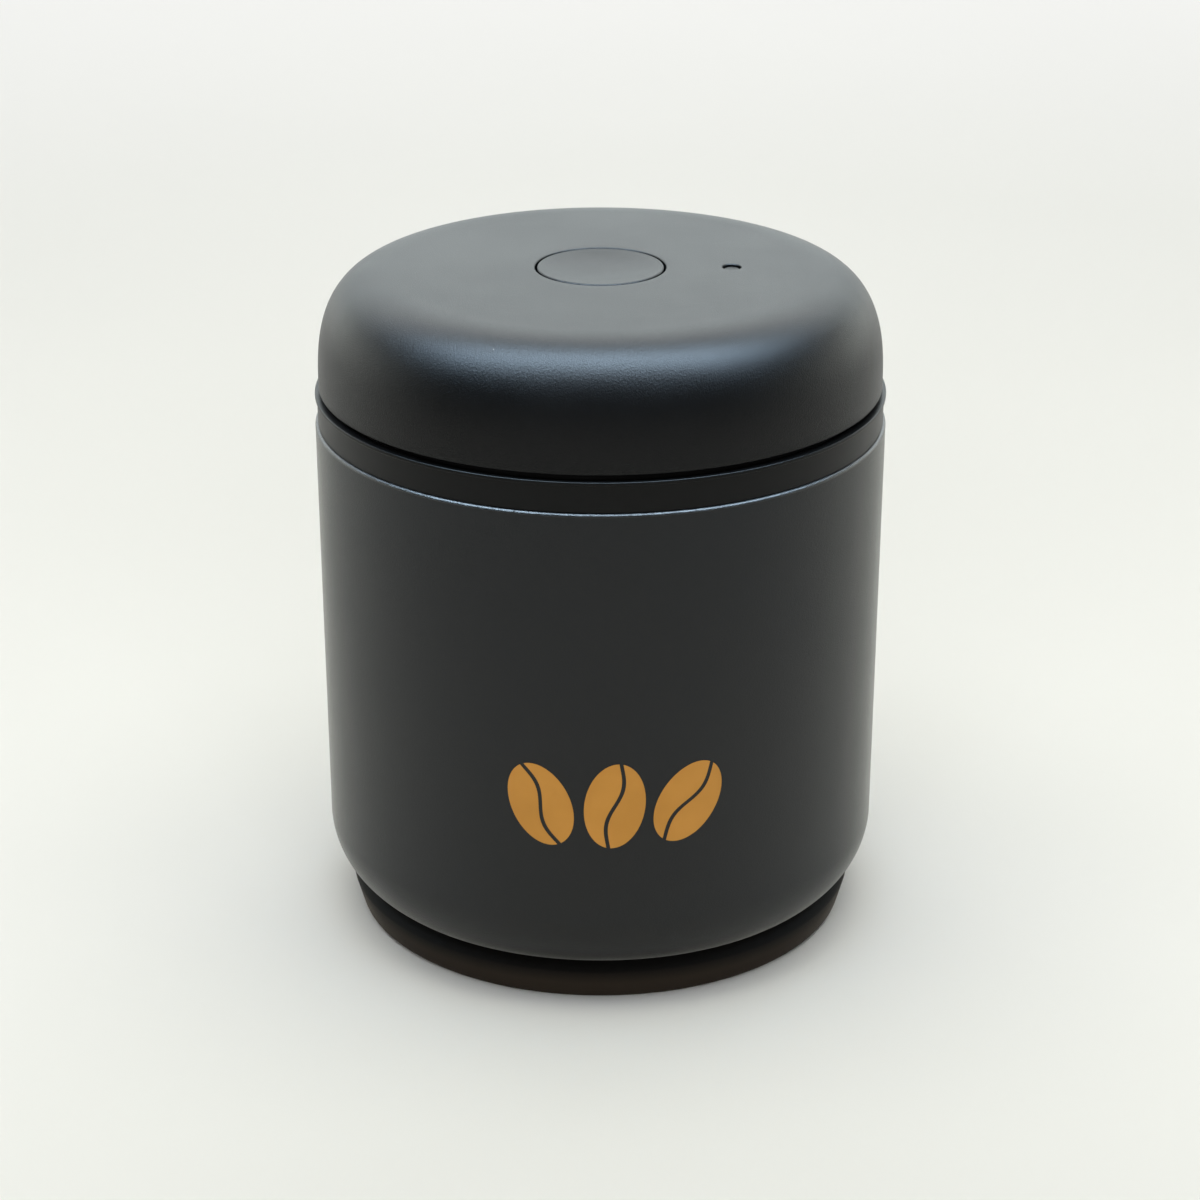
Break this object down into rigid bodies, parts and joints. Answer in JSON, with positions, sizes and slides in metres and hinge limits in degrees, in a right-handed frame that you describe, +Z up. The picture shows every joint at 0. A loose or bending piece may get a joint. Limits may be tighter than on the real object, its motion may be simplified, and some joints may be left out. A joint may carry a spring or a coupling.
{
  "type": "vacuum coffee canister",
  "caption": "Round steel food canister with a twist-pump vacuum lid, a push-button release valve and a small vacuum indicator.",
  "frame": {"origin": "centre of the foot's underside", "axes": "+Z up along the canister's axis, the front faces -Y, the indicator is on +X"},
  "size_m": [0.122, 0.122, 0.1455],
  "materials": {
    "coat": "matte black powder coat",
    "cap_plastic": "satin black, fine spark texture",
    "collar_plastic": "smooth satin black",
    "foot_rubber": "matte black rubber",
    "silicone": "soft translucent grey silicone",
    "nylon": "moulded natural nylon",
    "acetal": "slippery white acetal",
    "steel": "stainless",
    "felt": "pressed filter felt",
    "print": "amber screen print on the coat"
  },
  "bodies": {
    "canister": {"canister_body": "coat", "base_foot": "foot_rubber"},
    "lid_base": {"lid_base": "collar_plastic", "main_gasket": "silicone", "lower_cam_ring": "acetal", "upper_cam_ring": "acetal", "cam_screws": "steel", "glide_ring": "acetal", "thrust_washer": "acetal", "filter_disc": "felt", "filter_cover": "collar_plastic"},
    "twist_cap": {"lid_shell": "cap_plastic", "shell_screws": "steel", "pump_housing": "nylon", "manifold_plate": "nylon", "manifold_screws": "steel", "hub_seal": "silicone", "hub_clip": "steel", "inlet_valve_a": "silicone", "inlet_valve_b": "silicone", "indicator_diaphragm": "silicone", "indicator_spring": "steel", "button_spring": "steel"},
    "button": {"release_button": "cap_plastic", "valve_stem": "steel", "valve_seal": "silicone"},
    "pump_piston_a": {"piston_a": "nylon", "piston_seal_a": "silicone", "outlet_valve_a": "silicone", "follower_pin_a": "steel", "follower_shoe_a": "acetal"},
    "pump_piston_b": {"piston_b": "nylon", "piston_seal_b": "silicone", "outlet_valve_b": "silicone", "follower_pin_b": "steel", "follower_shoe_b": "acetal"},
    "indicator": {"indicator_pin": "cap_plastic"}
  },
  "joints": [
    {"name": "lid_lift", "type": "slide", "parent": "canister", "child": "lid_base", "axis": [0, 0, 1], "range_m": [0, 0.06]},
    {"name": "lid_twist", "type": "hinge", "parent": "lid_base", "child": "twist_cap", "pos_m": [0, 0, 0.12], "axis": [0, 0, 1], "range_deg": [-40, 40]},
    {"name": "piston_a_slide", "type": "slide", "parent": "twist_cap", "child": "pump_piston_a", "axis": [0, 0, 1], "range_m": [-0.00505, 0.00505]},
    {"name": "piston_b_slide", "type": "slide", "parent": "twist_cap", "child": "pump_piston_b", "axis": [0, 0, 1], "range_m": [-0.00505, 0.00505]},
    {"name": "button_press", "type": "slide", "parent": "twist_cap", "child": "button", "axis": [0, 0, -1], "range_m": [0, 0.0025], "stiffness_N_per_m": 1200, "springref_m": -0.0015, "deforming": ["button_spring"]},
    {"name": "indicator_travel", "type": "slide", "parent": "twist_cap", "child": "indicator", "axis": [0, 0, -1], "range_m": [0, 0.002], "stiffness_N_per_m": 150, "springref_m": -0.001, "deforming": ["indicator_spring", "indicator_diaphragm"]}
  ],
  "couplings": [
    {"joint": "piston_a_slide", "follows": "lid_twist", "m_per_rad": 0.007162},
    {"joint": "piston_b_slide", "follows": "lid_twist", "m_per_rad": -0.007162}
  ]
}
